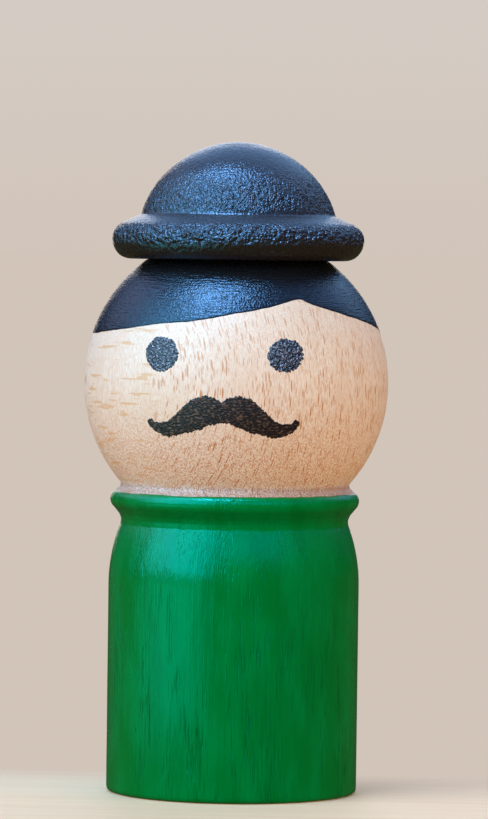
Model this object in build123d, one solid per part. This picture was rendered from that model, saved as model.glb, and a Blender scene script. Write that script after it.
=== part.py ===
from build123d import *
import os
from math import cos, radians, sin, sqrt

# A turned beech peg figure that wears a bowler hat. Millimetres, +Z up.
# The turning axis is Z, the base stands on z = 0 and the face looks towards -Y.

# films of finish on the wood
LACQUER = 0.15          # lacquer, a little thicker than a real coat so that it is a clean solid
INK = 0.10              # printed eyes and moustache

# trunk, measured over its lacquer
BODY_R = 12.5
BASE_ROUND = 0.4
SHOULDER_Z = 20.7       # the straight wall ends and the shoulder starts to close in
GROOVE_R = 11.33        # crease under the collar
GROOVE_Z = 26.9
GROOVE_TOP_Z = 27.3
COLLAR_LOW = (11.95, 28.3)
COLLAR_NOSE = (12.42, 29.25)
COLLAR_TOP = (11.87, 30.15)
COAT_FOOT_Z = 0.25      # the lacquer stops this far above the base

# head, bare wood
HEAD_R = 15.2
HEAD_CENTRE_Z = 40.9
NECK_R = 11.4
SEAT_Z = 53.2           # lacquered flat on top of the head, where the hat rests

# hair, a painted cap with a side parting
PARTING = (7.15, 49.5)  # highest point of the hairline, seen from the front
FRINGE_END = (-16.0, 45.5)
FRINGE_MID = (-2.0, 47.35)
TEMPLE_END = (16.0, 46.2)
EAR_Y = 2.0             # behind this the hair comes down to the nape
NAPE_Y = 7.0
NAPE_Z = 33.5

# face
EYE_R = 1.7
EYE_X = 6.05            # to each side of the middle
EYE_Z = 44.0
MOUSTACHE_TOP = ((0, 39.4), (1.6, 40.05), (4.3, 38.4), (5.9, 37.3), (7.45, 37.55))
MOUSTACHE_FOOT = ((7.45, 37.55), (5.3, 35.9), (2.7, 36.5), (0, 37.4))

# bowler hat
BRIM_CENTRE_R = 10.68   # centre of the round edge of the brim
BRIM_ROUND = 1.95
BRIM_SLOPE = 24.5       # degrees, from the edge up to the crown
CROWN_R = 10.17
CROWN_CENTRE_Z = 54.83
VALLEY_ROUND = 0.4      # fillet where the brim meets the crown

# dowel between head and hat
PIN_R = 2.0
PIN_REACH = 6.8         # into the head, and the same into the hat
PIN_CHAMFER = 0.4
BORE_PLAY = 0.05        # radial
BORE_DEPTH = 7.2        # into each piece, from the seat

FAR = 30.0              # beyond the outside of the figure


def spin(edges):
    """The solid that a closed half outline, drawn as (radius, height), sweeps about Z."""
    return revolve(Plane.XZ * make_face(edges), axis=Axis.Z)


def trunk_edges(inset):
    """The side of the trunk from the base to the top of the collar, moved in by inset."""
    foot = (BODY_R - BASE_ROUND - inset, 0)
    wall_foot = (BODY_R - inset, BASE_ROUND)
    wall_top = (BODY_R - inset, SHOULDER_Z)
    crease = (GROOVE_R - inset, GROOVE_Z)
    crease_top = (GROOVE_R - inset, GROOVE_TOP_Z)
    collar = [(r - inset, z) for r, z in (COLLAR_LOW, COLLAR_NOSE, COLLAR_TOP)]
    return [
        TangentArc(foot, wall_foot, tangent=(1, 0)),
        Line(wall_foot, wall_top),
        TangentArc(wall_top, crease, tangent=(0, 1)),
        Line(crease, crease_top),
        Line(crease_top, collar[0]),
        ThreePointArc(*collar),
    ]


def neck_height(grow):
    """The height at which the round of the head, grown by grow, meets the neck."""
    return HEAD_CENTRE_Z - sqrt((HEAD_R + grow) ** 2 - NECK_R**2)


def head_edges(grow):
    """The side of the head from the neck to its flat top, with its radius grown by grow."""
    radius = HEAD_R + grow
    top_z = SEAT_Z - LACQUER + grow
    top_r = sqrt(radius**2 - (top_z - HEAD_CENTRE_Z) ** 2)
    return [
        ThreePointArc((NECK_R, neck_height(grow)), (radius, HEAD_CENTRE_Z), (top_r, top_z)),
        Line((top_r, top_z), (0, top_z)),
    ]


def solid_figure():
    """The whole turning before its top is bored."""
    collar_edge = (COLLAR_TOP[0] - LACQUER, COLLAR_TOP[1])
    neck = TangentArc((NECK_R, neck_height(0)), collar_edge, tangent=(0, -1))
    middle = Line((0, SEAT_Z - LACQUER), (0, 0))
    base = Line((0, 0), (BODY_R - BASE_ROUND - LACQUER, 0))
    return spin(trunk_edges(LACQUER) + [neck] + head_edges(0) + [middle, base])


def pin_bore():
    """The space that both blind bores leave for the dowel."""
    return Pos(0, 0, SEAT_Z) * Cylinder(PIN_R + BORE_PLAY, 2 * BORE_DEPTH)


def green_coat():
    """Lacquer over the trunk and collar, open at the base."""
    top_z = COLLAR_TOP[1]
    closing = [Line(COLLAR_TOP, (0, top_z)), Line((0, top_z), (0, 0)), Line((0, 0), (BODY_R - BASE_ROUND, 0))]
    trunk = spin(trunk_edges(0) + closing)
    kept = Pos(0, 0, COAT_FOOT_Z) * Cylinder(FAR, top_z, align=(Align.CENTER, Align.CENTER, Align.MIN))
    return (trunk - solid_figure()) & kept


def head_film(thickness):
    """An even film all over the head, from which the hair and the prints are cut."""
    neck_z = neck_height(thickness)
    closing = [Line((NECK_R, neck_z), (0, neck_z)), Line((0, neck_z), (0, SEAT_Z - LACQUER + thickness))]
    return spin(head_edges(thickness) + closing) - solid_figure()


def fringe_block():
    """What lies above the hairline at the front, drawn from the front."""
    top_z = SEAT_Z + 1
    left_top, right_top = (FRINGE_END[0], top_z), (TEMPLE_END[0], top_z)
    outline = [
        ThreePointArc(FRINGE_END, FRINGE_MID, PARTING),
        Polyline(PARTING, TEMPLE_END, right_top, left_top, FRINGE_END),
    ]
    return extrude(Plane.XZ.offset(-EAR_Y) * make_face(outline), amount=FAR)


def nape_block():
    """What lies behind the ears and above the nape, drawn from the side."""
    top_z = SEAT_Z + 1
    outline = Polyline((EAR_Y, top_z), (EAR_Y, FRINGE_END[1]), (NAPE_Y, NAPE_Z), (FAR, NAPE_Z),
                       (FAR, top_z), close=True)
    return extrude(Plane.YZ * make_face(outline), amount=FAR, both=True)


def hair_coat():
    """Black lacquer on the top and back of the head, bored for the dowel."""
    return head_film(LACQUER) & (fringe_block() + nape_block()) - pin_bore()


def eye_print(side):
    """One printed eye, round when seen from the front: side is -1 or 1 along X."""
    dot = Pos(EYE_X * side, EYE_Z) * Circle(EYE_R)
    return head_film(INK) & extrude(Plane.XZ * dot, amount=FAR)


def moustache_print():
    """The printed handlebar moustache, drawn from the front."""
    half = make_face([Spline(*MOUSTACHE_TOP), Spline(*MOUSTACHE_FOOT),
                      Line(MOUSTACHE_FOOT[-1], MOUSTACHE_TOP[0])])
    whole = half + mirror(half, about=Plane.YZ)
    return head_film(INK) & extrude(Plane.XZ * whole, amount=FAR)


def hat():
    """The bowler, turned in one piece, with a blind bore in its underside."""
    rise = radians(90 - BRIM_SLOPE)
    brim_z = SEAT_Z + BRIM_ROUND
    slope_foot = (BRIM_CENTRE_R + BRIM_ROUND * cos(rise), brim_z + BRIM_ROUND * sin(rise))
    top = (0, CROWN_CENTRE_Z + CROWN_R)
    root = crown_root(slope_foot)
    outline = [
        Line((0, SEAT_Z), (BRIM_CENTRE_R, SEAT_Z)),
        ThreePointArc((BRIM_CENTRE_R, SEAT_Z), (BRIM_CENTRE_R + BRIM_ROUND, brim_z), slope_foot),
        Line(slope_foot, root),
        TangentArc(top, root, tangent=(1, 0)),
        Line(top, (0, SEAT_Z)),
    ]
    valley = spin(outline).edges().filter_by(GeomType.CIRCLE).sort_by_distance((root[0], 0, root[1]))[0]
    return fillet(valley, VALLEY_ROUND) - pin_bore()


def crown_root(slope_foot):
    """Where the slope of the brim runs into the round of the crown."""
    slope = radians(BRIM_SLOPE)
    along = (-cos(slope), sin(slope))
    dr, dz = slope_foot[0], slope_foot[1] - CROWN_CENTRE_Z
    toward = dr * along[0] + dz * along[1]
    reach = -toward - sqrt(toward**2 - (dr**2 + dz**2 - CROWN_R**2))
    return (dr + reach * along[0], slope_foot[1] + reach * along[1])


def hat_pin():
    """The dowel that keeps the hat on the middle of the head."""
    dowel = Cylinder(PIN_R, 2 * PIN_REACH)
    return Pos(0, 0, SEAT_Z) * chamfer(dowel.edges().filter_by(GeomType.CIRCLE), PIN_CHAMFER)


os.makedirs("parts", exist_ok=True)
export_step(solid_figure() - pin_bore(), "parts/turned_figure.step")
export_step(green_coat(), "parts/green_coat.step")
export_step(hair_coat(), "parts/hair_coat.step")
export_step(eye_print(-1), "parts/left_eye_print.step")
export_step(eye_print(1), "parts/right_eye_print.step")
export_step(moustache_print(), "parts/moustache_print.step")
export_step(hat(), "parts/hat.step")
export_step(hat_pin(), "parts/hat_pin.step")
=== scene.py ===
"""The looks of the turned peg figure: bare beech, green and black lacquer, a printed face and a bowler hat.

Lengths are in millimetres until make_mesh() writes them in metres, but those of the lights and the floor are
in metres. Angles round the figure are in degrees, count from its front (-Y) and grow towards +X.
"""
import math

import bpy
import numpy as np
from mathutils import Matrix, Vector


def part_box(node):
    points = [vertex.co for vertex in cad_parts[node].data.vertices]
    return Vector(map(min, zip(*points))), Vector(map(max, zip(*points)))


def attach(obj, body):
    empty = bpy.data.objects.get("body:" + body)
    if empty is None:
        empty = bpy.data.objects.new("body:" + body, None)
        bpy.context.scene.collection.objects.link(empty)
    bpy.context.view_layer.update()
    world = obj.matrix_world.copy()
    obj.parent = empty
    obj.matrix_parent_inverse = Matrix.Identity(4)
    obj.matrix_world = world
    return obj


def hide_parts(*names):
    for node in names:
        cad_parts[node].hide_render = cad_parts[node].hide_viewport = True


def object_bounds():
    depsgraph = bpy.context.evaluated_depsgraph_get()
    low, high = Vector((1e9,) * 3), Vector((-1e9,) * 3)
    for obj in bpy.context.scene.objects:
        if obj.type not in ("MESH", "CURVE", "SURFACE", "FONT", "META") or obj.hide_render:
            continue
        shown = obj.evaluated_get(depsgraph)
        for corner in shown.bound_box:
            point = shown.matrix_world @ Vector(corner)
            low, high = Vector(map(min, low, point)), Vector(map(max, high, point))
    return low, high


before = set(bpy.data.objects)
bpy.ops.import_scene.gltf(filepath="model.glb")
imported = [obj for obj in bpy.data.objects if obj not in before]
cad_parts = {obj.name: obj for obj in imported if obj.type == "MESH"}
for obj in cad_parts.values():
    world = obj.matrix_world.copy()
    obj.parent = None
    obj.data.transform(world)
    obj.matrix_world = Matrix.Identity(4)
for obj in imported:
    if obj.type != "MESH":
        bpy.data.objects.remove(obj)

cad_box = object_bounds()

MM = 0.001


# ---------------------------------------------------------------- sizes, from the frame

def low(node):
    """Lowest corner of a CAD node, in mm."""
    return np.array(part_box(node)[0]) / MM


def high(node):
    """Highest corner of a CAD node, in mm."""
    return np.array(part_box(node)[1]) / MM


def half_width(node):
    return (high(node)[0] - low(node)[0]) / 2


HEAD_R = half_width("turned_figure")
BODY_R = half_width("green_coat")
BRIM_R = half_width("hat")
PIN_R = half_width("hat_pin")
SEAT_Z = low("hat")[2]
HAT_TOP_Z = high("hat")[2]
COLLAR_TOP_Z = high("green_coat")[2]
NAPE_Z = low("hair_coat")[2]
PIN_FOOT_Z, PIN_TOP_Z = low("hat_pin")[2], high("hat_pin")[2]

# the side of the figure
FILM = 0.06                          # lacquer over the wood
LIP = 0.07                           # a film rounds over to its edge within about this
BURIED = 0.25                        # share of a film's thickness that its edge sits under the wood
INK = 0.025                          # printed ink over the wood
INK_LIP = 0.03
INK_BURIED = 0.4
BASE_ROUND = 0.4
SHOULDER_Z = COLLAR_TOP_Z - 9.45
GROOVE_R = BODY_R - 1.17
GROOVE_Z = COLLAR_TOP_Z - 3.25
COLLAR_ROUND = 1.06
COLLAR_EDGE_R = BODY_R - 0.63
NECK_R = BODY_R - 1.1
HEAD_CENTRE_Z = SEAT_Z - 12.3
BORE_R = PIN_R + 0.05
BORE_DEPTH = 7.2
PIN_CHAMFER = 0.4

# the bowler
BRIM_ROUND = 1.95
BRIM_SLOPE = 24.5
CROWN_R = 10.17
VALLEY_Z = HAT_TOP_Z - 7.3           # where crown and brim meet

# wood: the rays of the beech run level, along this direction
RAY_TURN = 40.0

AROUND = 512                         # points round a turning


# ---------------------------------------------------------------- noise

def lattice(cell, seed):
    """A value from -1 to 1 for each whole-number cell, hashed from its place and the seed."""
    i = cell.astype(np.int64)
    h = (i[..., 0] * 73856093) ^ (i[..., 1] * 19349663) ^ (i[..., 2] * 83492791) ^ (seed * 40503)
    h = (h ^ (h >> 13)) * 1274126177
    return ((h ^ (h >> 16)) & 0xFFFF) / 32767.5 - 1


def noise(points, scale, seed):
    """Smooth values from -1 to 1 that change over scale, a length or one for each axis."""
    q = points / np.asarray(scale, float) + 0.37
    cell = np.floor(q)
    f = q - cell
    f = f * f * (3 - 2 * f)
    total = 0
    for corner in np.ndindex(2, 2, 2):
        weight = np.prod(np.where(corner, f, 1 - f), axis=-1)
        total = total + weight * lattice(cell + corner, seed)
    return total


def smooth_step(x, start, end):
    t = np.clip((x - start) / (end - start), 0, 1)
    return t * t * (3 - 2 * t)


# ---------------------------------------------------------------- outlines

def arc(centre, radius, start, stop):
    """Points of an arc about (radius, height) centre, from start to stop in degrees above the horizontal."""
    a = np.radians(np.linspace(start, stop, 64))
    return np.stack([centre[0] + radius * np.cos(a), centre[1] + radius * np.sin(a)], axis=1)


def along(points, spacing):
    """The same line with its points evenly spaced."""
    s = np.concatenate([[0], np.cumsum(np.hypot(*np.diff(points, axis=0).T))])
    even = np.linspace(0, s[-1], max(2, int(round(s[-1] / spacing)) + 1))
    return np.stack([np.interp(even, s, points[:, k]) for k in (0, 1)], axis=1)


def blur(values, sigma):
    """Gaussian blur along the first axis, with the ends carried on in line."""
    n = int(math.ceil(3 * sigma))
    kernel = np.exp(-0.5 * (np.arange(-n, n + 1) / sigma) ** 2)
    kernel /= kernel.sum()
    before = 2 * values[0] - values[n:0:-1]
    after = 2 * values[-1] - values[-2:-n - 2:-1]
    padded = np.concatenate([before, values, after])
    columns = padded.reshape(len(padded), -1).T
    return np.stack([np.convolve(c, kernel, "valid") for c in columns], axis=-1).reshape(values.shape)


class Outline:
    """The side of a turning: radius and height along its length, with its corners softened over soft mm."""

    FINE = 0.02

    def __init__(self, *parts, soft=0.08):
        line = along(np.vstack([np.atleast_2d(p) for p in parts]).astype(float), self.FINE)
        self.points = blur(line, soft / self.FINE)
        step = np.diff(self.points, axis=0)
        self.s = np.concatenate([[0], np.cumsum(np.hypot(*step.T))])
        tangent = np.gradient(self.points, self.s, axis=0)
        tangent /= np.linalg.norm(tangent, axis=1)[:, None]
        self.normals = np.stack([tangent[:, 1], -tangent[:, 0]], axis=1)

    def at(self, s):
        """Radius, height and the two parts of the outward normal at lengths s."""
        columns = [*self.points.T, *self.normals.T]
        return [np.interp(s, self.s, c) for c in columns]

    def rows(self, spacing, start=0.0, stop=None):
        """Lengths from start to stop whose gaps follow spacing(radius, height)."""
        s = np.linspace(start, self.s[-1] if stop is None else stop, 4000)
        density = 1 / spacing(*self.at(s)[:2])
        total = np.concatenate([[0], np.cumsum((density[1:] + density[:-1]) / 2 * np.diff(s))])
        return np.interp(np.linspace(0, total[-1], int(math.ceil(total[-1])) + 1), total, s)

    def length_at(self, z):
        """The length where the line, on its way up, reaches height z."""
        return np.interp(z, self.points[:, 1], self.s)


def evenly(gap):
    """A spacing for rows() that is the same everywhere."""
    return lambda r, z: np.full(np.shape(r), gap)


def around(turn, radius, height):
    """Points at turn degrees round the figure, at radius and height."""
    a = np.radians(turn)
    return np.stack([radius * np.sin(a), -radius * np.cos(a), height + 0 * a], axis=-1)


# ---------------------------------------------------------------- meshes

def make_mesh(name, points, faces, material):
    """A smooth mesh object from points in mm."""
    mesh = bpy.data.meshes.new(name)
    mesh.from_pydata((points * MM).tolist(), [], faces)
    mesh.shade_smooth()
    mesh.materials.append(material)
    made = bpy.data.objects.new(name, mesh)
    bpy.context.scene.collection.objects.link(made)
    return made


def grid_faces(rows, columns, close_rows=False, close_columns=True):
    """Quads of a grid whose points run along each row in turn."""
    i = np.arange(rows if close_rows else rows - 1)[:, None]
    j = np.arange(columns if close_columns else columns - 1)[None, :]
    i2, j2 = (i + 1) % rows, (j + 1) % columns
    quads = np.stack([i * columns + j, i * columns + j2, i2 * columns + j2, i2 * columns + j], axis=-1)
    return quads.reshape(-1, 4).tolist()


def fan(centre, ring, flip):
    """Triangles from the point centre to a closed ring of points."""
    pairs = zip(ring, ring[1:] + ring[:1])
    return [(centre, b, a) if flip else (centre, a, b) for a, b in pairs]


def lifted(side, s, turns, relief):
    """Grid of surface points of an outline turned about Z, each moved out by relief(points)."""
    r, z, nr, nz = (np.broadcast_to(v, np.broadcast(s, turns).shape) for v in side.at(s))
    points, normals = around(turns + 0 * r, r, z), around(turns + 0 * r, nr, nz)
    return points + normals * relief(points)[..., None]


def turned(name, side, spacing, relief, material, count=AROUND):
    """A closed turning whose outline starts and ends on the axis."""
    s = side.rows(spacing)[1:-1, None]
    turns = np.linspace(0, 360, count, endpoint=False)[None, :]
    grid = lifted(side, s, turns, relief)
    rows = len(grid)
    poles = np.array([[0, 0, side.points[0, 1]], [0, 0, side.points[-1, 1]]])
    points = np.vstack([grid.reshape(-1, 3), poles])
    first, last = list(range(count)), list(range((rows - 1) * count, rows * count))
    faces = grid_faces(rows, count)
    faces += fan(rows * count, first, True) + fan(rows * count + 1, last, False)
    return make_mesh(name, points, faces, material)


def coat(name, side, start, stop, spacing, thickness, relief, material, count=AROUND):
    """A closed film round a turning, from length start to length stop, each a number or one for each turn."""
    turns = np.linspace(0, 360, count, endpoint=False)
    start, stop = (v(turns) if callable(v) else np.full(count, v) for v in (start, stop))
    share = side.rows(spacing, start.min(), stop.max())
    share = (share - share[0]) / (share[-1] - share[0])
    s = start + share[:, None] * (stop - start)
    edge = np.minimum(s - start, stop - s)
    lip = 1 - np.exp(-edge / LIP)

    def film(points):
        return thickness * (lip - BURIED) + relief(points) * lip

    def underside(points):
        return np.full(points.shape[:2], -thickness)

    outside = lifted(side, s, turns[None, :], film)
    few = np.linspace(0, 1, max(12, len(share) // 4))[::-1, None]
    inside = lifted(side, start + few * (stop - start), turns[None, :], underside)
    grid = np.concatenate([outside, inside])
    return make_mesh(name, grid.reshape(-1, 3), grid_faces(len(grid), count, close_rows=True), material)


# ---------------------------------------------------------------- node materials

def rgb(r, g, b):
    return (r, g, b, 1.0)


def node(tree, kind, inputs=None, **settings):
    """A shader node with its settings and inputs, where an input is a value or another node's output."""
    made = tree.nodes.new(kind)
    for key, value in settings.items():
        setattr(made, key, value)
    for key, value in (inputs or {}).items():
        socket = made.inputs[key]
        if isinstance(value, bpy.types.NodeSocket):
            tree.links.new(value, socket)
        else:
            socket.default_value = value
    return made


def new_material(name, **shader):
    """A material with a Principled shader, and its node tree."""
    material = bpy.data.materials.new(name)
    material.use_nodes = True
    tree = material.node_tree
    principled = tree.nodes["Principled BSDF"]
    for key, value in shader.items():
        principled.inputs[key.replace("_", " ")].default_value = value
    return material, tree, principled


def vector_node(tree, operation, a, b=(0, 0, 0), output="Vector"):
    return node(tree, "ShaderNodeVectorMath", {0: a, 1: b}, operation=operation).outputs[output]


def part_of(tree, vector, axis):
    return node(tree, "ShaderNodeSeparateXYZ", {"Vector": vector}).outputs[axis]


def in_mm(tree, scale=(1, 1, 1), turn=0.0):
    """The piece's own coordinates in mm, turned about Z and divided by scale."""
    place = node(tree, "ShaderNodeTexCoord").outputs["Object"]
    spun = node(tree, "ShaderNodeVectorRotate", {"Vector": place, "Angle": -math.radians(turn)},
                rotation_type="Z_AXIS").outputs["Vector"]
    return vector_node(tree, "MULTIPLY", spun, tuple(1 / MM / s for s in scale))


def height_mm(tree):
    return part_of(tree, in_mm(tree), "Z")


def noise_node(tree, scale, detail, turn=0.0):
    """Noise from 0 to 1 that changes over scale, in mm along each axis."""
    values = {"Vector": in_mm(tree, scale, turn), "Scale": 1.0, "Detail": detail}
    return node(tree, "ShaderNodeTexNoise", values).outputs["Fac"]


def math_node(tree, operation, a, b=0.0):
    return node(tree, "ShaderNodeMath", {0: a, 1: b}, operation=operation).outputs[0]


def times(tree, a, b):
    return math_node(tree, "MULTIPLY", a, b)


def plus(tree, a, b):
    return math_node(tree, "ADD", a, b)


def minus(tree, a, b):
    return math_node(tree, "SUBTRACT", a, b)


def between(tree, value, low_in, high_in, low_out=0.0, high_out=1.0):
    """value mapped from one range to another, clamped and smooth."""
    inputs = {"Value": value, "From Min": low_in, "From Max": high_in, "To Min": low_out, "To Max": high_out}
    return node(tree, "ShaderNodeMapRange", inputs, interpolation_type="SMOOTHSTEP").outputs["Result"]


def mix(tree, factor, a, b, blend="MIX"):
    made = tree.nodes.new("ShaderNodeMix")
    made.data_type, made.blend_type = "RGBA", blend
    for socket, value in zip((made.inputs[0], made.inputs[6], made.inputs[7]), (factor, a, b)):
        if isinstance(value, bpy.types.NodeSocket):
            tree.links.new(value, socket)
        else:
            socket.default_value = value
    return made.outputs[2]


def bump(tree, height, distance):
    """The surface's normal over a height from 0 to 1 that stands for distance, in mm."""
    inputs = {"Height": height, "Distance": distance * MM, "Strength": 1.0}
    return node(tree, "ShaderNodeBump", inputs).outputs["Normal"]


# ---------------------------------------------------------------- beech

# sizes in mm of what shows in the wood
BROAD_BANDS = (2.0, 2.0, 9.0)
FIBRE = (0.11, 0.11, 0.8)
PORES = (0.08, 0.08, 0.35)
GLITTER = (0.13, 0.13, 0.18)
RAY_SWAY = (3.0, 5.0, 3.0)
RAY_BARS = (6.0, 3.0, 0.42)
COARSE_FLECKS = (0.27, 2.4, 0.24)    # width and height of a cell, and the reach of the largest dash in cells
FINE_FLECKS = (0.17, 1.3, 0.34)

PALE_WOOD, DEEP_WOOD = rgb(0.93, 0.84, 0.80), rgb(0.84, 0.66, 0.55)
DOWEL_PALE, DOWEL_DEEP = rgb(0.74, 0.56, 0.42), rgb(0.64, 0.46, 0.32)
RAY_ENDS = rgb(0.60, 0.24, 0.07)     # rays and pores that the surface cuts across
RAY_SIDES = rgb(0.76, 0.45, 0.20)    # rays seen along their length
# painted highlight: near-white specks that stand in for glints of light
PAINTED_GLINTS = rgb(1.0, 0.95, 0.88)
NECK_PAINTED_SHADE = rgb(0.56, 0.49, 0.53)   # painted shade: the cove under the head is darkened this much, streaked along the fibre


def ray_flecks(tree, wide, tall, reach):
    """Upright dashes where the level ribbons of ray meet the surface: 1 inside a dash and 0 outside."""
    place = in_mm(tree, (wide, 1, tall), RAY_TURN)
    across = plus(tree, part_of(tree, place, "X"), noise_node(tree, RAY_SWAY, 1.0, RAY_TURN))
    flat = node(tree, "ShaderNodeCombineXYZ", {"X": across, "Y": part_of(tree, place, "Z")}).outputs[0]
    cells = node(tree, "ShaderNodeTexVoronoi", {"Vector": flat, "Scale": 1.0}, voronoi_dimensions="2D")
    luck = node(tree, "ShaderNodeSeparateColor", {"Color": cells.outputs["Color"]}).outputs[0]
    edge = between(tree, luck, 0.2, 1.0, -0.05, reach)
    return between(tree, minus(tree, cells.outputs["Distance"], edge), -0.07, 0.06, 1.0, 0.0)


def ribbon_sides(tree):
    """1 where the surface lies along the ribbons of ray, which show there as level bars, else 0."""
    normal = node(tree, "ShaderNodeTexCoord").outputs["Normal"]
    outward = vector_node(tree, "NORMALIZE", vector_node(tree, "MULTIPLY", normal, (1, 1, 0)))
    a = math.radians(RAY_TURN)
    facing = vector_node(tree, "DOT_PRODUCT", outward, (math.cos(a), math.sin(a), 0), "Value")
    return between(tree, math_node(tree, "ABSOLUTE", facing), 0.87, 0.96)


def beech(name, pale=PALE_WOOD, deep=DEEP_WOOD):
    """Bare beech with level rays, fine upright fibre and short pores. Low on the head the cut is rougher."""
    material, tree, shader = new_material(name, Roughness=0.5, IOR=1.45)
    broad = noise_node(tree, BROAD_BANDS, 2.0, RAY_TURN)
    fibre = noise_node(tree, FIBRE, 2.0)
    pores = noise_node(tree, PORES, 1.0)
    glitter = noise_node(tree, GLITTER, 1.0)
    z = height_mm(tree)
    colour = mix(tree, between(tree, fibre, 0.36, 0.64), pale, deep)
    colour = mix(tree, between(tree, broad, 0.35, 0.7, 0.0, 0.4), colour, deep)

    side = ribbon_sides(tree)
    low_down = between(tree, z, HEAD_CENTRE_Z + 6.0, HEAD_CENTRE_Z - 3.0, 0.6, 1.0)
    depth = times(tree, minus(tree, 1.0, side), low_down)
    rough_cut = between(tree, z, HEAD_CENTRE_Z + 1.0, HEAD_CENTRE_Z - 9.0)
    sparkle = times(tree, between(tree, glitter, 0.50, 0.64), rough_cut)
    fine = times(tree, ray_flecks(tree, *FINE_FLECKS), depth)
    coarse = times(tree, ray_flecks(tree, *COARSE_FLECKS), depth)
    bars = between(tree, noise_node(tree, RAY_BARS, 1.0, RAY_TURN), 0.58, 0.68)
    # painted glints: near-white specks in the colour low on the head
    painted_glint = times(tree, between(tree, glitter, 0.42, 0.34), rough_cut)
    marks = (
        (sparkle, 0.72, RAY_ENDS),
        (fine, 0.7, RAY_ENDS),
        (coarse, 1.0, RAY_ENDS),
        (times(tree, bars, side), 0.75, RAY_SIDES),
        (between(tree, pores, 0.58, 0.75), 0.4, RAY_ENDS),
        (painted_glint, 0.75, PAINTED_GLINTS),
    )
    for mark, strength, shade in marks:
        colour = mix(tree, times(tree, mark, strength), colour, shade)
    # painted shade in the cove just above the collar, stronger along some fibres than others
    shade_along_fibre = between(tree, fibre, 0.35, 0.65, 0.62, 1.0)
    cove = times(tree, between(tree, z, COLLAR_TOP_Z + 1.0, COLLAR_TOP_Z + 0.5), shade_along_fibre)
    colour = mix(tree, cove, colour, NECK_PAINTED_SHADE, "MULTIPLY")
    tree.links.new(colour, shader.inputs["Base Color"])

    grain = plus(tree, times(tree, coarse, -0.5), fibre)
    grain = plus(tree, grain, times(tree, times(tree, glitter, rough_cut), 2.4))
    tree.links.new(bump(tree, grain, 0.03), shader.inputs["Normal"])
    tree.links.new(between(tree, pores, 0.3, 0.8, 0.40, 0.60), shader.inputs["Roughness"])
    return material


# ---------------------------------------------------------------- lacquers and inks

# sizes in mm of the grain that shows through or stands up in the finish
STREAKS = (0.17, 0.17, 6.0)
FINE_STREAKS = (0.07, 0.07, 1.2)
CLOUDS = (2.5, 2.5, 8.0)
WORN_PATCHES = (2.2, 2.2, 9.0)
SPLITS = (0.15, 0.15, 4.0)
BRUSH_LINES = (1.6, 1.6, 0.15)
BRUSHED_GRAIN = (0.18, 0.18, 0.26)
STROKES = (0.26, 0.26, 0.50)
SPECKS = (0.15, 0.15, 0.20)
CHIPS = (0.42, 0.42, 0.40)
MOUSTACHE_GRAIN = (0.34, 0.34, 0.14)
EYE_GRAIN = (0.22, 0.22, 0.24)

GREEN_LOW, GREEN_HIGH = rgb(0.0, 0.185, 0.028), rgb(0.0, 0.225, 0.045)
GREEN_STREAK = rgb(0.0, 0.15, 0.020)
GREEN_SPLIT = rgb(0.0, 0.08, 0.012)
GREEN_GLOSS, BLACK_GLOSS = rgb(0.0, 0.90, 0.86), rgb(0.40, 0.70, 1.0)
HAIR_BLACK = rgb(0.007, 0.008, 0.011)
HAT_BLACK = rgb(0.018, 0.014, 0.011)
# the light colours are specks on the grain's tops: bluish painted glints on the eyes, and on the moustache
# partly wood through the ink, partly painted glints
MOUSTACHE_DARK, MOUSTACHE_WOOD_AND_GLINT = rgb(0.016, 0.009, 0.007), rgb(0.15, 0.095, 0.07)
EYE_DARK, EYE_PAINTED_GLINT = rgb(0.012, 0.010, 0.020), rgb(0.22, 0.22, 0.32)


def green_lacquer():
    """Gloss green over beech, whose upright grain shows through as fine ridges and splits."""
    material, tree, shader = new_material("green_lacquer", IOR=1.5, Specular_Tint=GREEN_GLOSS)
    streak = noise_node(tree, STREAKS, 2.5)
    fine = noise_node(tree, FINE_STREAKS, 2.0)
    cloud = noise_node(tree, CLOUDS, 2.0)
    worn = between(tree, noise_node(tree, WORN_PATCHES, 1.0), 0.42, 0.6)
    low_down = between(tree, height_mm(tree), SHOULDER_Z + 2.0, SHOULDER_Z - 9.0, 0.3, 1.0)
    split = times(tree, between(tree, noise_node(tree, SPLITS, 1.5), 0.56, 0.66), times(tree, worn, low_down))
    colour = mix(tree, between(tree, cloud, 0.35, 0.65), GREEN_LOW, GREEN_HIGH)
    colour = mix(tree, between(tree, streak, 0.5, 0.72, 0.0, 0.25), colour, GREEN_STREAK)
    colour = mix(tree, times(tree, split, 0.22), colour, GREEN_SPLIT)
    tree.links.new(colour, shader.inputs["Base Color"])

    height = plus(tree, times(tree, streak, 0.55), times(tree, fine, 0.25))
    height = minus(tree, height, times(tree, split, 1.1))
    tree.links.new(bump(tree, height, 0.07), shader.inputs["Normal"])
    tree.links.new(between(tree, fine, 0.3, 0.7, 0.12, 0.23), shader.inputs["Roughness"])
    return material


def black_lacquer(name, dark, grain_height, relief, specular, low_rough, high_rough):
    """Black lacquer over raised grain relief mm high, with the roughness of its hollows, then of its tops."""
    material, tree, shader = new_material(name, IOR=1.5, Specular_IOR_Level=specular,
                                          Specular_Tint=BLACK_GLOSS)
    grain = grain_height(tree)
    # painted light and shade: the grain's tops are half as light again as its hollows
    colour = mix(tree, between(tree, grain, 0.35, 0.75), dark, rgb(*(c * 1.5 for c in dark[:3])))
    tree.links.new(colour, shader.inputs["Base Color"])
    tree.links.new(bump(tree, grain, relief), shader.inputs["Normal"])
    tree.links.new(between(tree, grain, 0.40, 0.58, low_rough, high_rough), shader.inputs["Roughness"])
    return material


def brushed_height(tree):
    """Level brush lines over fine grain."""
    lines = noise_node(tree, BRUSH_LINES, 1.5)
    grain = noise_node(tree, BRUSHED_GRAIN, 1.5)
    return plus(tree, times(tree, lines, 0.5), times(tree, grain, 0.5))


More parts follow.
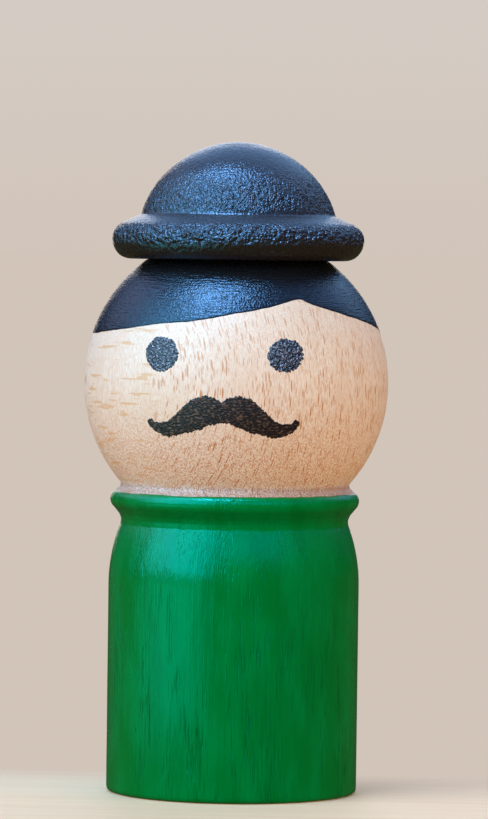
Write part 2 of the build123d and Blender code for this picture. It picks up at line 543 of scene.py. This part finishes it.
def stippled_height(tree):
    """Short upright strokes, strong low on the crown and faint above, and chips on the brim."""
    z = height_mm(tree)
    low_crown = between(tree, z, VALLEY_Z + 6.0, VALLEY_Z + 2.0, 0.0, 0.7)
    above_valley = between(tree, z, VALLEY_Z - 0.2, VALLEY_Z + 0.6)
    brim = between(tree, z, VALLEY_Z - 0.5, VALLEY_Z - 1.4)
    smooth_foot = between(tree, z, SEAT_Z + 1.3, SEAT_Z + 1.9, 0.2, 1.0)
    rough = math_node(tree, "MAXIMUM", times(tree, low_crown, above_valley), brim)
    strength = between(tree, times(tree, rough, smooth_foot), 0.0, 1.0, 0.3, 1.6)

    strokes = times(tree, noise_node(tree, STROKES, 1.5), 0.6)
    grain = plus(tree, strokes, times(tree, noise_node(tree, SPECKS, 1.0), 0.4))
    chips = times(tree, noise_node(tree, CHIPS, 1.5), 1.1)
    chipped = plus(tree, times(tree, grain, 0.4), chips)
    crown_swing = times(tree, minus(tree, grain, 0.5), minus(tree, 1.0, brim))
    brim_swing = times(tree, times(tree, minus(tree, chipped, 0.75), 1.1), brim)
    swing = plus(tree, crown_swing, brim_swing)
    swing = times(tree, swing, between(tree, z, SEAT_Z, SEAT_Z + 0.6, 0.15, 1.0))
    return plus(tree, times(tree, swing, strength), 0.47)


def ink(name, dark, light, grain, relief, specular, low_rough, high_rough):
    """Ink on the raised grain, with light specks on its tops that are partly wood through the ink and partly
    painted glints, and the roughness of its hollows, then of its tops.
    """
    material, tree, shader = new_material(name, IOR=1.5, Specular_IOR_Level=specular)
    speck = noise_node(tree, grain, 2.0)
    # light specks on the raised tops of the grain: painted glints, and on the moustache partly wood through
    # the ink
    colour = mix(tree, between(tree, speck, 0.50, 0.68), dark, light)
    tree.links.new(colour, shader.inputs["Base Color"])
    tree.links.new(bump(tree, speck, relief), shader.inputs["Normal"])
    tree.links.new(between(tree, speck, 0.35, 0.6, low_rough, high_rough), shader.inputs["Roughness"])
    return material


# ---------------------------------------------------------------- the turned figure

def trunk_outline():
    """Body, shoulder, groove and collar, measured over the lacquer, from the base to the collar's edge."""
    reach, rise = BODY_R - GROOVE_R, GROOVE_Z - SHOULDER_Z
    shoulder_r = (reach**2 + rise**2) / (2 * reach)
    shoulder_end = math.degrees(math.asin(rise / shoulder_r))
    bead = (BODY_R - 0.08 - COLLAR_ROUND, COLLAR_TOP_Z - 0.93)
    return [
        arc((BODY_R - BASE_ROUND, BASE_ROUND), BASE_ROUND, -90, 0),
        arc((BODY_R - shoulder_r, SHOULDER_Z), shoulder_r, 0, shoulder_end),
        (GROOVE_R, GROOVE_Z + 0.4),
        (GROOVE_R + 0.2, GROOVE_Z + 0.88),
        arc(bead, COLLAR_ROUND, -50, 61),
    ]


def neck_outline():
    """The bare cove between collar and head."""
    return [(COLLAR_EDGE_R - 0.06, COLLAR_TOP_Z + 0.03), (NECK_R + 0.1, COLLAR_TOP_Z + 0.32),
            (NECK_R, COLLAR_TOP_Z + 0.58)]


def head_outline(top_z):
    """The round of the head from the neck to its flat top."""
    neck = -math.degrees(math.acos(NECK_R / HEAD_R))
    top = math.degrees(math.asin((top_z - HEAD_CENTRE_Z) / HEAD_R))
    return [arc((0, HEAD_CENTRE_Z), HEAD_R, neck, top)]


FIGURE_TOP_Z = SEAT_Z - FILM
BORE_FLOOR_Z = FIGURE_TOP_Z - BORE_DEPTH
figure_side = Outline((0, 0), *trunk_outline(), *neck_outline(), *head_outline(FIGURE_TOP_Z),
                      (BORE_R, FIGURE_TOP_Z), (BORE_R, BORE_FLOOR_Z), (0, BORE_FLOOR_Z))
NECK_LENGTH = figure_side.length_at(COLLAR_TOP_Z)


def figure_spacing(r, z):
    """Fine rows where bare wood shows, and coarse ones in the bore and under the base."""
    inner = (r < BORE_R + 0.4) | (z < 0.05)
    return np.where(inner, 0.9, 0.40)


def wood_relief(points):
    """Raised fibre and slight waves left by the tool. Under the green coat the wood lies a film lower."""
    fibre = noise(points, (0.5, 0.5, 3.0), 3)
    waves = noise(points * [0, 0, 1], 0.55, 5)
    covered = smooth_step(points[..., 2], COLLAR_TOP_Z + 0.02, COLLAR_TOP_Z - 0.1)
    return 0.006 * fibre + 0.004 * waves - 0.006 - FILM * covered


figure = turned("figure_wood", figure_side, figure_spacing, wood_relief, beech("bare_beech"))


# ---------------------------------------------------------------- the green coat

def coat_foot(turns):
    """The lacquer starts on the round of the base, not quite level."""
    start = figure_side.length_at(0.03)
    points = around(turns, BODY_R, 0)
    return start + 0.04 * noise(points, 2.5, 11)


def coat_top(turns):
    """Its top edge wanders a little along the collar, as brushed by hand."""
    edge = figure_side.length_at(COLLAR_TOP_Z - 0.02)
    points = around(turns, BODY_R, 0)
    return edge + 0.14 * noise(points, 3.2, 12) + 0.05 * noise(points, 0.8, 13) - 0.08


def green_relief(points):
    """Upright grain under the lacquer: long ridges, sharper splits and a few nibs."""
    ridge = noise(points, (0.55, 0.55, 7.0), 21)
    fine = noise(points, (0.28, 0.28, 3.0), 22)
    split = np.maximum(0, noise(points, (0.42, 0.42, 5.0), 23) - 0.55)
    nib = np.maximum(0, noise(points, (0.5, 0.5, 0.8), 24) - 0.86)
    return 0.012 * ridge + 0.008 * fine - 0.08 * split + 0.25 * nib - 0.02


def green_spacing(r, z):
    """Finer rows in the groove and on the collar."""
    return np.where(z > GROOVE_Z - 0.8, 0.13, 0.30)


green = coat("green_body_coat", figure_side, coat_foot, coat_top, green_spacing, FILM, green_relief,
             green_lacquer(), count=560)


# ---------------------------------------------------------------- the hair

# the hairline's height above the middle of the head at each turn: behind the right ear, fringe, parting,
# temple, behind the left ear, nape
NAPE = NAPE_Z - HEAD_CENTRE_Z
HAIRLINE = ((-122, NAPE), (-98, 4.75), (-70, 4.85), (-46, 5.4), (-29, 5.95), (-8, 6.45), (5, 7.1), (19, 7.7),
            (34.5, 8.65), (40, 8.05), (59, 6.9), (82, 5.85), (98, 5.2), (122, NAPE), (238, NAPE))


def hairline(turns):
    """Length along the head where the painted hair starts, at each turn."""
    wide = np.arange(-180, 540, 0.25)
    t, z = np.array(HAIRLINE).T
    turn = (wide + 122) % 360 - 122
    height = HEAD_CENTRE_Z + blur(np.interp(turn, t, z), 5)
    points = around(wide, HEAD_R, 0)
    height = height + 0.035 * noise(points, 0.5, 31) + 0.04 * noise(points, 1.6, 32)
    s = figure_side.s[figure_side.s > NECK_LENGTH]
    z_side = figure_side.points[figure_side.s > NECK_LENGTH, 1]
    rising = slice(0, int(np.argmax(z_side)))
    return np.interp(np.interp(turns, wide, height), z_side[rising], s[rising])


def hair_relief(points):
    """Level brush lines and raised grain in the black."""
    lines = noise(points, (6.0, 6.0, 0.22), 33)
    grain = noise(points, (0.3, 0.3, 0.7), 34)
    return 0.004 * lines + 0.007 * grain


SEAT_EDGE = figure_side.s[np.argmax(figure_side.points[:, 1] >= FIGURE_TOP_Z - 0.01)]
HAIR_END = SEAT_EDGE + 9.3 - BORE_R  # over the flat seat, whose radius is about 9, and just into the bore

hair_paint = black_lacquer("hair_lacquer", HAIR_BLACK, brushed_height, relief=0.13, specular=0.42,
                           low_rough=0.32, high_rough=0.18)
hair = coat("painted_hair", figure_side, hairline, HAIR_END, evenly(0.26), FILM, hair_relief, hair_paint)


# ---------------------------------------------------------------- the printed face

def on_head(x, z, lift):
    """Points of the head's front at x and z, lift mm out from the wood."""
    out = np.stack([x, -np.sqrt(HEAD_R**2 - (z - HEAD_CENTRE_Z) ** 2 - x**2), z - HEAD_CENTRE_Z], axis=-1)
    return out * (1 + np.asarray(lift)[..., None] / HEAD_R) + [0, 0, HEAD_CENTRE_Z]


def print_patch(name, x, z, edge, material, close_columns):
    """A closed film of ink over a grid of places, where edge is the distance to the print's outline."""
    outside = on_head(x, z, INK * (1 - (1 + INK_BURIED) * np.exp(-edge / INK_LIP)))
    inside = on_head(x, z, np.full(x.shape, -INK))[::-1]
    grid = np.concatenate([outside, inside])
    rows, columns = grid.shape[:2]
    faces = grid_faces(rows, columns, close_rows=True, close_columns=close_columns)
    if not close_columns:
        half = rows // 2
        for column in (0, columns - 1):
            ring = [i * columns + column for i in range(rows)]
            ends = [(ring[i], ring[i + 1], ring[rows - 2 - i], ring[rows - 1 - i]) for i in range(half - 1)]
            faces += [e if column else e[::-1] for e in ends]
    return make_mesh(name, grid.reshape(-1, 3), faces, material)


MOUSTACHE_HALF = high("moustache_print")[0]
# half of the moustache: distance from its middle, and height above the middle of the head
MOUSTACHE_TOP = (
    (0, -1.55), (0.3, -1.25), (0.7, -1.05), (1.4, -0.85), (2.15, -0.95), (2.95, -1.2), (3.7, -1.85),
    (4.5, -2.7), (5.3, -3.4), (6.0, -3.6), (6.6, -3.5), (7.1, -3.15), (7.45, -3.35),
)
MOUSTACHE_FOOT = (
    (0, -3.5), (0.6, -3.6), (1.35, -3.8), (2.15, -4.2), (2.9, -4.45), (3.7, -4.65),
    (4.5, -4.85), (5.3, -5.0), (6.0, -4.75), (6.6, -4.55), (7.05, -4.2), (7.45, -3.6),
)


def moustache():
    """Handlebar with a notch in the middle and tips that curl up, its edge ragged where the ink bled."""
    x = np.linspace(-MOUSTACHE_HALF, MOUSTACHE_HALF, 361)[None, :]
    seeds = np.stack([x[0], 0 * x[0], 0 * x[0]], axis=-1)
    ragged = [0.16 * noise(seeds, 0.12, k) + 0.10 * noise(seeds, 0.3, k + 1) for k in (41, 43)]
    top = HEAD_CENTRE_Z + np.interp(np.abs(x[0]), *np.array(MOUSTACHE_TOP).T) + ragged[0]
    foot = HEAD_CENTRE_Z + np.interp(np.abs(x[0]), *np.array(MOUSTACHE_FOOT).T) + ragged[1]
    rows = np.linspace(0, 1, 40)[:, None]
    z = foot + (top - foot) * rows
    edge = np.minimum(np.minimum(z - foot, top - z), MOUSTACHE_HALF - np.abs(x))
    material = ink("moustache_ink", MOUSTACHE_DARK, MOUSTACHE_WOOD_AND_GLINT, MOUSTACHE_GRAIN, relief=0.12,
                   specular=0.25, low_rough=0.6, high_rough=0.36)
    return print_patch("printed_moustache", x + 0 * z, z, edge, material, close_columns=False)


def eye(name, node_name, seed, material):
    """A dot with a ragged rim."""
    middle = (low(node_name) + high(node_name)) / 2
    radius = (high(node_name)[2] - low(node_name)[2]) / 2
    turn = np.linspace(0, 360, 240, endpoint=False)[None, :]
    rim = around(turn, radius, seed * 7.0)
    reach = radius - 0.04 + 0.13 * noise(rim, 0.15, seed) + 0.07 * noise(rim, 0.5, seed + 1)
    share = np.linspace(1, 0.02, 26)[:, None]
    a = np.radians(turn)
    x = middle[0] + share * reach * np.cos(a)
    z = middle[2] + share * reach * np.sin(a)
    return print_patch(name, x, z, reach * (1 - share), material, close_columns=True)


eye_ink = ink("eye_ink", EYE_DARK, EYE_PAINTED_GLINT, EYE_GRAIN, relief=0.26, specular=0.5,
              low_rough=0.4, high_rough=0.12)
left_eye = eye("printed_left_eye", "left_eye_print", 51, eye_ink)
right_eye = eye("printed_right_eye", "right_eye_print", 61, eye_ink)
lip_print = moustache()


# ---------------------------------------------------------------- the bowler

def hat_outline():
    """From the roof of the bore down to the brim, round it and up over the crown."""
    brim = (BRIM_R - BRIM_ROUND, SEAT_Z + BRIM_ROUND)
    crown = (0, HAT_TOP_Z - CROWN_R)
    slope_foot = arc(brim, BRIM_ROUND, -90, 90 - BRIM_SLOPE)[-1]
    slope = math.radians(BRIM_SLOPE)
    reach = np.linspace(0, 6, 600)[:, None]
    slope_line = slope_foot + reach * [-math.cos(slope), math.sin(slope)]
    outside = np.hypot(slope_line[:, 0], slope_line[:, 1] - crown[1]) > CROWN_R
    root = slope_line[outside][-1]
    root_angle = math.degrees(math.atan2(root[1] - crown[1], root[0]))
    return [(0, SEAT_Z + BORE_DEPTH), (BORE_R, SEAT_Z + BORE_DEPTH), (BORE_R, SEAT_Z),
            arc(brim, BRIM_ROUND, -90, 90 - BRIM_SLOPE), arc(crown, CROWN_R, root_angle, 90)]


hat_side = Outline(*hat_outline(), soft=0.07)


def hat_spacing(r, z):
    """The finest rows where the grain shows, coarser ones on top and underneath, the coarsest in the bore."""
    inner = r < BORE_R + 0.3
    under = (z < SEAT_Z + 0.1) & (r < BRIM_R - BRIM_ROUND - 0.3)
    return np.where(inner, 1.2, np.where(under, 0.35, np.where(z > HAT_TOP_Z - 0.5, 0.25, 0.115)))


def hat_relief(points):
    """Grain that the lacquer left standing: upright strokes on the crown, chips along the brim's edge."""
    z = points[..., 2]
    radius = np.hypot(points[..., 0], points[..., 1])
    stroke = noise(points, (0.26, 0.26, 0.85), 71)
    fine = noise(points, (0.17, 0.17, 0.4), 72)
    pit = np.maximum(0, noise(points, (0.3, 0.3, 0.7), 73) - 0.25)
    chip = noise(points, (0.5, 0.5, 0.8), 74)
    wobble = noise(points, (5.0, 5.0, 3.0), 75)
    above_valley = smooth_step(z, VALLEY_Z - 0.1, VALLEY_Z + 0.5)
    low_crown = smooth_step(z, VALLEY_Z + 5.0, VALLEY_Z + 1.5) * above_valley
    edge = smooth_step(z, SEAT_Z + 1.2, SEAT_Z + 1.9) * smooth_step(z, SEAT_Z + 3.5, SEAT_Z + 2.7)
    edge = edge * smooth_step(radius, BRIM_R - 1.2, BRIM_R - 0.6)
    outside = smooth_step(z, SEAT_Z + 0.3, SEAT_Z + 1.0) * smooth_step(radius, BORE_R + 0.1, BORE_R + 0.6)
    crown = smooth_step(z, VALLEY_Z, VALLEY_Z + 0.6)
    relief = 0.010 * stroke + 0.008 * fine + low_crown * (0.028 * stroke - 0.18 * pit)
    relief = relief + edge * (0.085 * chip - 0.18 * pit) + 0.03 * wobble * (1 - crown)
    return relief * outside - 0.04 * outside


hat_paint = black_lacquer("hat_lacquer", HAT_BLACK, stippled_height, relief=0.26, specular=0.58,
                          low_rough=0.28, high_rough=0.09)
bowler = turned("bowler_hat", hat_side, hat_spacing, hat_relief, hat_paint, count=480)


# ---------------------------------------------------------------- the dowel

def dowel():
    """A plain pin with chamfered ends and a trace of upright grain."""
    end_r = PIN_R - PIN_CHAMFER
    side = Outline((0, PIN_FOOT_Z), (end_r, PIN_FOOT_Z), (PIN_R, PIN_FOOT_Z + PIN_CHAMFER),
                   (PIN_R, PIN_TOP_Z - PIN_CHAMFER), (end_r, PIN_TOP_Z), (0, PIN_TOP_Z), soft=0.04)

    def relief(points):
        return 0.012 * noise(points, (0.3, 0.3, 3.0), 81) - 0.012

    wood = beech("dowel_beech", DOWEL_PALE, DOWEL_DEEP)
    return turned("dowel_pin", side, evenly(0.15), relief, wood, count=96)


pin = dowel()


# ---------------------------------------------------------------- what stands for what

PIECES = (
    (figure, "figure", "turned_figure", "beech"),
    (green, "figure", "green_coat", "green_lacquer"),
    (hair, "figure", "hair_coat", "hair_lacquer"),
    (left_eye, "figure", "left_eye_print", "eye_ink"),
    (right_eye, "figure", "right_eye_print", "eye_ink"),
    (lip_print, "figure", "moustache_print", "moustache_ink"),
    (bowler, "bowler", "hat", "hat_lacquer"),
    (pin, "dowel", "hat_pin", "dowel_beech"),
)
for piece, body, cad_node, slot in PIECES:
    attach(piece, body)
    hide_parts(cad_node)


# ---------------------------------------------------------------- camera

CAMERA_TURN = 5.4                    # degrees round from the face towards +X
CAMERA_AWAY = 490.0
CAMERA_Z = 55.1
AIM_Z = 38.25                        # height on the axis that the middle of the view shows
AIM_RIGHT = 0.81                     # the middle of the view is this far right of the axis
CAMERA_ROLL = -0.75
LENS = 215.4
SENSOR = 36.0


def camera():
    """Looks a little down on the figure from far off, slightly from its left."""
    turn = math.radians(CAMERA_TURN)
    toward = Vector((math.sin(turn), -math.cos(turn), 0))
    right = Vector((math.cos(turn), math.sin(turn), 0))
    place = toward * CAMERA_AWAY + Vector((0, 0, CAMERA_Z))
    aim = right * AIM_RIGHT + Vector((0, 0, AIM_Z))
    data = bpy.data.cameras.new("camera")
    data.lens, data.sensor_width = LENS, SENSOR
    data.clip_start, data.clip_end = 0.01, 20
    made = bpy.data.objects.new("camera", data)
    look = (aim - place).to_track_quat("-Z", "Y").to_matrix().to_4x4()
    roll = Matrix.Rotation(math.radians(-CAMERA_ROLL), 4, "Z")
    made.matrix_world = Matrix.Translation(place * MM) @ look @ roll
    bpy.context.scene.collection.objects.link(made)
    bpy.context.scene.camera = made


camera()


# ---------------------------------------------------------------- stage and light

WALL_HIGH, WALL_LOW = rgb(0.66, 0.60, 0.555), rgb(0.64, 0.552, 0.485)
FLOOR_COLOUR, FLOOR_STREAK = rgb(1.0, 0.70, 0.50), rgb(0.96, 0.645, 0.43)
STREAK_SIZE = (45.0, 1.6, 1.0)       # mm
FLOOR_HALF = 30.0                    # m, from the middle to each edge
WINDOW_TURN = -52.0                  # where the window is, round the figure
TABLE_BACK = (0.004, 0.018)          # m behind the axis over which the table top fades into the wall
TABLE_FAR = (0.12, 0.40)             # m away from the axis over which it fades all round
SHEEN_FACING = (0.84, 0.93)          # cosine from the window's direction: no sheen, full sheen
SHEEN_AWAY = (0.06, 0.10)            # m

# the dim room round the stage, as matt surfaces and as glossy ones receive it
ROOM_ABOVE, GLOSS_ABOVE = rgb(0.21, 0.34, 0.50), rgb(0.20, 0.33, 0.76)
ROOM_BELOW, GLOSS_BELOW = rgb(0.20, 0.12, 0.06), rgb(0.02, 0.03, 0.04)
FLOOR_LIGHT, FLOOR_GLOSS = rgb(0.65, 0.38, 0.18), rgb(0.055, 0.050, 0.030)
WINDOW_SHEEN = rgb(0.3, 2.2, 2.0)    # painted reflection of the window, glowing on the floor towards it, as glossy surfaces receive it

# name, turn round the figure, height above it in degrees, metres away, size in m, power in W, colour
MATT_LIGHTS = (
    ("window_left", -45, 32, 0.9, (0.8, 0.7), 7.0, (0.79, 0.95, 1.0)),
    ("window_front", 12, 38, 0.9, (0.7, 0.7), 1.0, (0.80, 1.0, 0.95)),
    ("warm_side", 70, 18, 0.9, (0.6, 0.6), 3.2, (1.0, 0.74, 0.43)),
    ("back_fill", 170, 35, 1.0, (0.8, 0.8), 2.0, (1.0, 0.85, 0.7)),
)
GLOSS_LIGHTS = (
    ("sky_above", -31, 68, 0.7, (0.36, 0.34), 15.0, (0.35, 0.62, 1.0)),
    ("sky_right", 25, 27, 0.9, (1.0, 0.35), 2.1, (0.09, 0.52, 1.0)),
    ("sky_side", -116, 32, 0.9, (0.6, 0.5), 1.3, (0.60, 0.66, 1.0)),
    ("sky_left", WINDOW_TURN, 29, 0.9, (1.1, 0.8), 20.0, (0.30, 0.71, 1.0)),
    ("sky_back", 165, 48, 0.9, (1.3, 1.1), 5.2, (0.34, 0.62, 1.0)),
    ("wall_left", -172, 6, 1.0, (0.4, 0.8), 1.5, (1.0, 0.88, 0.78)),
)


def softbox(name, turn, height, away, size, power, colour, glossy):
    """An area light that faces the middle of the figure and lights either glossy or matt surfaces."""
    middle = Vector((0, 0, (cad_box[0].z + cad_box[1].z) / 2))
    a, e = math.radians(turn), math.radians(height)
    back = Vector((math.sin(a) * math.cos(e), -math.cos(a) * math.cos(e), math.sin(e)))
    data = bpy.data.lights.new(name, "AREA")
    data.shape, data.size, data.size_y = "RECTANGLE", *size
    data.energy, data.color = power, colour
    made = bpy.data.objects.new(name, data)
    made.location = middle + back * away
    made.rotation_mode = "QUATERNION"
    made.rotation_quaternion = back.to_track_quat("Z", "Y")
    made.visible_camera = False
    made.visible_diffuse, made.visible_glossy = not glossy, glossy
    bpy.context.scene.collection.objects.link(made)


def window_wedge(tree, place):
    """1 on the part of the floor that lies towards the window, some way from the figure."""
    a = math.radians(WINDOW_TURN)
    away = vector_node(tree, "LENGTH", place, output="Value")
    toward = vector_node(tree, "NORMALIZE", place)
    facing = vector_node(tree, "DOT_PRODUCT", toward, (math.sin(a), -math.cos(a), 0), "Value")
    return times(tree, between(tree, facing, *SHEEN_FACING), between(tree, away, *SHEEN_AWAY))


def floor_paint():
    """The camera sees a pale table top that fades into the wall's colour, and the figure gets its glow."""
    material, tree, shader = new_material("floor", Roughness=0.7, Specular_IOR_Level=0.3)
    streaks = between(tree, noise_node(tree, STREAK_SIZE, 3.0), 0.35, 0.7)
    tree.links.new(mix(tree, streaks, FLOOR_COLOUR, FLOOR_STREAK), shader.inputs["Base Color"])
    place = node(tree, "ShaderNodeTexCoord").outputs["Object"]
    behind = between(tree, part_of(tree, place, "Y"), *TABLE_BACK)
    away = vector_node(tree, "LENGTH", place, output="Value")
    far = math_node(tree, "MAXIMUM", behind, between(tree, away, *TABLE_FAR))
    wall = node(tree, "ShaderNodeEmission", {"Color": WALL_LOW}).outputs[0]
    shown = node(tree, "ShaderNodeMixShader", {0: far, 1: shader.outputs[0], 2: wall}).outputs[0]

    # every ray but the camera's sees the floor glow like a lamp: painted bounce light for matt surfaces, and
    # towards the window a painted reflection of it for glossy ones
    path = node(tree, "ShaderNodeLightPath").outputs
    gloss = mix(tree, window_wedge(tree, place), FLOOR_GLOSS, WINDOW_SHEEN)
    glow_colour = mix(tree, path["Is Glossy Ray"], FLOOR_LIGHT, gloss)
    glow = node(tree, "ShaderNodeEmission", {"Color": glow_colour}).outputs[0]
    whole = node(tree, "ShaderNodeMixShader", {0: path["Is Camera Ray"], 1: glow, 2: shown}).outputs[0]
    tree.links.new(whole, tree.nodes["Material Output"].inputs["Surface"])
    material.cycles.emission_sampling = "NONE"
    return material


def floor():
    """A wide plain table top under the figure."""
    corners = [(x * FLOOR_HALF, y * FLOOR_HALF, 0) for x, y in ((-1, -1), (1, -1), (1, 1), (-1, 1))]
    mesh = bpy.data.meshes.new("floor")
    mesh.from_pydata(corners, [], [(0, 1, 2, 3)])
    mesh.materials.append(floor_paint())
    made = bpy.data.objects.new("floor", mesh)
    made.location.z = cad_box[0].z
    bpy.context.scene.collection.objects.link(made)


def surroundings():
    """A plain warm wall for the camera, and a dim room, cool above and warm below, for light and gloss."""
    world = bpy.data.worlds.new("room")
    bpy.context.scene.world = world
    world.use_nodes = True
    world.cycles.sampling_method = "NONE"
    tree = world.node_tree
    background = tree.nodes["Background"]
    up = part_of(tree, node(tree, "ShaderNodeTexCoord").outputs["Generated"], "Z")
    wall = mix(tree, between(tree, up, -0.02, 0.06), WALL_LOW, WALL_HIGH)
    matt = mix(tree, between(tree, up, -0.6, 0.8), ROOM_BELOW, ROOM_ABOVE)
    gloss = mix(tree, between(tree, up, 0.0, 0.9), GLOSS_BELOW, GLOSS_ABOVE)
    path = node(tree, "ShaderNodeLightPath").outputs
    room = mix(tree, path["Is Glossy Ray"], matt, gloss)
    tree.links.new(mix(tree, path["Is Camera Ray"], room, wall), background.inputs["Color"])


surroundings()
floor()
for light in MATT_LIGHTS:
    softbox(*light, glossy=False)
for light in GLOSS_LIGHTS:
    softbox(*light, glossy=True)

bpy.context.scene.view_settings.view_transform = "Standard"
